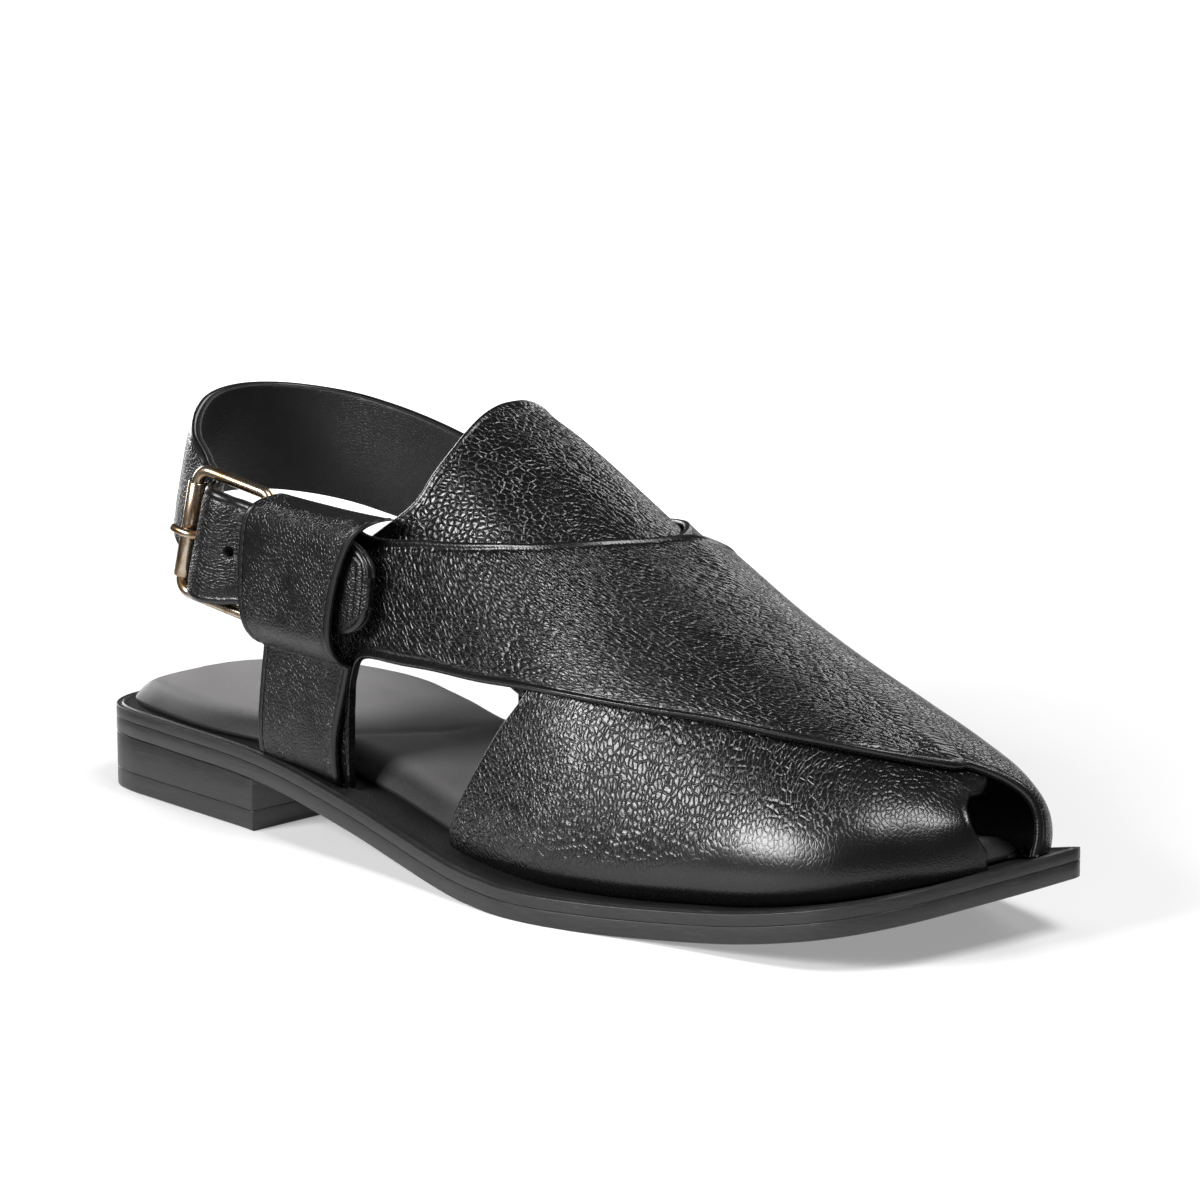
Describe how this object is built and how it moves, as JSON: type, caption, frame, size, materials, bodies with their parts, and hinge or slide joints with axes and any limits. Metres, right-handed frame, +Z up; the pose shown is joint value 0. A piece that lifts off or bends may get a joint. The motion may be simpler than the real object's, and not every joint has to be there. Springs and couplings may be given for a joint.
{
  "type": "peshawari chappal",
  "caption": "Closed-strap leather sandal for the right foot with broad crossing straps, a peaked tongue, a padded insole and a buckled heel strap on a low-heeled welted sole",
  "frame": {"origin": "middle of the sole's bounding box, on the floor", "axes": "+X along the sole to the toe, +Y to the inner side of the foot, +Z up"},
  "size_m": [0.29, 0.1013, 0.1134],
  "materials": {
    "midsole": "painted edge, semi-matte, lightly scratched",
    "outsole": "moulded edge, semi-matte, lightly scratched",
    "heel_block": "semi-matte, lightly scratched",
    "heel_top_lift": "semi-matte, fine tread beneath",
    "insole": "smooth matte padded lining leather",
    "upper": "pebbled full grain, semi-gloss",
    "tongue": "pebbled full grain, semi-gloss",
    "near_stay": "fine grain, soft sheen",
    "far_stay": "fine grain, soft sheen",
    "slingback": "fine grain, soft sheen",
    "buckle_frame": "aged, satin",
    "buckle_roller": "aged, satin",
    "buckle_prong": "aged, satin",
    "buckle_tab": "raw cut edge"
  },
  "bodies": {
    "root": {"midsole": "midsole", "outsole": "outsole", "heel_block": "heel_block", "heel_top_lift": "heel_top_lift", "insole": "insole", "upper": "upper", "tongue": "tongue", "near_stay": "near_stay", "far_stay": "far_stay", "slingback": "slingback", "buckle_frame": "buckle_frame", "buckle_roller": "buckle_roller", "buckle_prong": "buckle_prong", "buckle_tab": "buckle_tab"}
  },
  "joints": []
}
